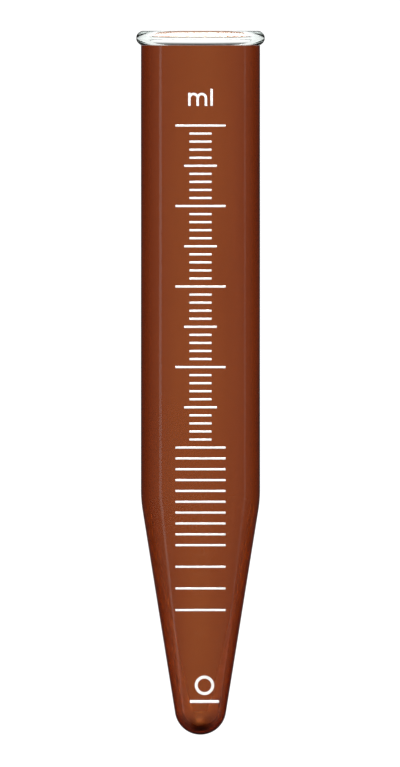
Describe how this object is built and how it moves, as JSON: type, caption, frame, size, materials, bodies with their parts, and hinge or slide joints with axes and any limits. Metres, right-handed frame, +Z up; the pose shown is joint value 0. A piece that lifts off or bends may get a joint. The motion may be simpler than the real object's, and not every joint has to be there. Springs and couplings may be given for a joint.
{
  "type": "graduated centrifuge tube",
  "caption": "Amber glass centrifuge tube: straight barrel, conical closed tip, clear beaded rim and a white printed volume scale.",
  "frame": {"origin": "on the tube's axis, in the plane of the rim bead's underside, where a rack carries the tube", "axes": "+Z up the axis towards the open mouth; the printed scale faces -Y"},
  "size_m": [0.0184, 0.0184, 0.1005],
  "materials": {
    "amber_glass": "polished",
    "clear_glass": "polished",
    "white_enamel": "gloss"
  },
  "bodies": {
    "root": {"glass_tube": "amber_glass", "letter_l": "white_enamel", "letter_m": "white_enamel", "long_line_01": "white_enamel", "long_line_02": "white_enamel", "long_line_03": "white_enamel", "long_line_04": "white_enamel", "long_line_05": "white_enamel", "lower_line_01": "white_enamel", "lower_line_02": "white_enamel", "lower_line_03": "white_enamel", "lower_line_04": "white_enamel", "lower_line_05": "white_enamel", "lower_line_06": "white_enamel", "lower_line_07": "white_enamel", "lower_line_08": "white_enamel", "lower_line_09": "white_enamel", "lower_line_10": "white_enamel", "lower_line_11": "white_enamel", "lower_line_12": "white_enamel", "maker_bar": "white_enamel", "maker_ring": "white_enamel", "middle_line_01": "white_enamel", "middle_line_02": "white_enamel", "middle_line_03": "white_enamel", "middle_line_04": "white_enamel", "rim_bead": "clear_glass", "short_line_01": "white_enamel", "short_line_02": "white_enamel", "short_line_03": "white_enamel", "short_line_04": "white_enamel", "short_line_05": "white_enamel", "short_line_06": "white_enamel", "short_line_07": "white_enamel", "short_line_08": "white_enamel", "short_line_09": "white_enamel", "short_line_10": "white_enamel", "short_line_11": "white_enamel", "short_line_12": "white_enamel", "short_line_13": "white_enamel", "short_line_14": "white_enamel", "short_line_15": "white_enamel", "short_line_16": "white_enamel", "short_line_17": "white_enamel", "short_line_18": "white_enamel", "short_line_19": "white_enamel", "short_line_20": "white_enamel", "short_line_21": "white_enamel", "short_line_22": "white_enamel", "short_line_23": "white_enamel", "short_line_24": "white_enamel", "short_line_25": "white_enamel", "short_line_26": "white_enamel", "short_line_27": "white_enamel", "short_line_28": "white_enamel", "short_line_29": "white_enamel", "short_line_30": "white_enamel", "short_line_31": "white_enamel", "short_line_32": "white_enamel"}
  },
  "joints": []
}
